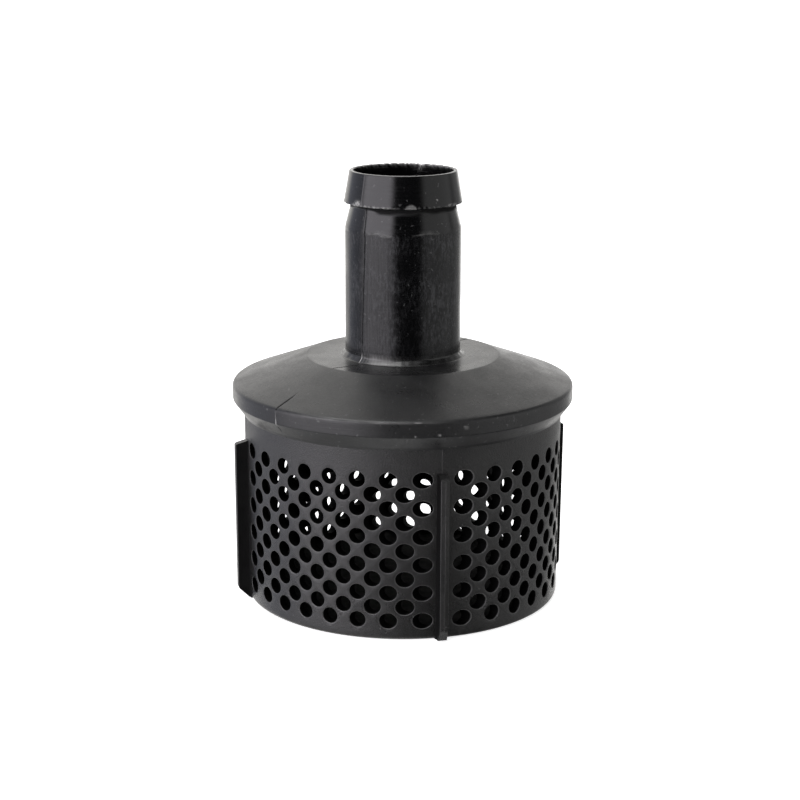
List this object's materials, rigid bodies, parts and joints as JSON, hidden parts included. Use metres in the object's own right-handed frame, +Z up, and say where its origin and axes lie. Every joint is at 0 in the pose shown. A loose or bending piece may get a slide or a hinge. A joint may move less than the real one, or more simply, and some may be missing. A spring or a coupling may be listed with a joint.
{
  "type": "foot valve with strainer",
  "caption": "Plastic suction foot valve: barbed hose tail on a conical cap, perforated round strainer basket with ribs, and a hinged check clapper inside.",
  "frame": {"origin": "middle of the basket's foot, on the plane that the valve stands on", "axes": "+Z up along the hose tail; the basket's ribs lie on the X and Y axes, and the clapper's hinge is on the -X side"},
  "size_m": [0.1124, 0.1124, 0.1404],
  "materials": {
    "cap_plastic": "black polyethylene, semi-gloss with light scuffs",
    "basket_plastic": "black polyethylene, satin",
    "plate_plastic": "black moulded plastic",
    "rubber": "nitrile rubber",
    "steel": "stainless steel",
    "brass": "turned brass"
  },
  "bodies": {
    "housing": {"hose_tail_cap": "cap_plastic", "strainer_basket": "basket_plastic", "valve_seat_plate": "plate_plastic", "seat_ring": "brass", "cap_gasket": "rubber", "plate_screw_1": "steel", "plate_screw_2": "steel", "plate_screw_3": "steel", "plate_screw_4": "steel", "hinge_bracket": "steel", "bracket_screw_1": "steel", "bracket_screw_2": "steel", "hinge_pin": "steel", "pin_clip_1": "steel", "pin_clip_2": "steel"},
    "clapper": {"clapper_carrier": "plate_plastic", "clapper_seal": "rubber", "seal_retainer": "steel", "clapper_bolt": "steel", "lock_washer": "steel", "clapper_nut": "steel"}
  },
  "joints": [
    {"name": "clapper_hinge", "type": "hinge", "parent": "housing", "child": "clapper", "pos_m": [-0.022, 0, 0.0635], "axis": [0, -1, 0], "range_deg": [0, 36]}
  ]
}
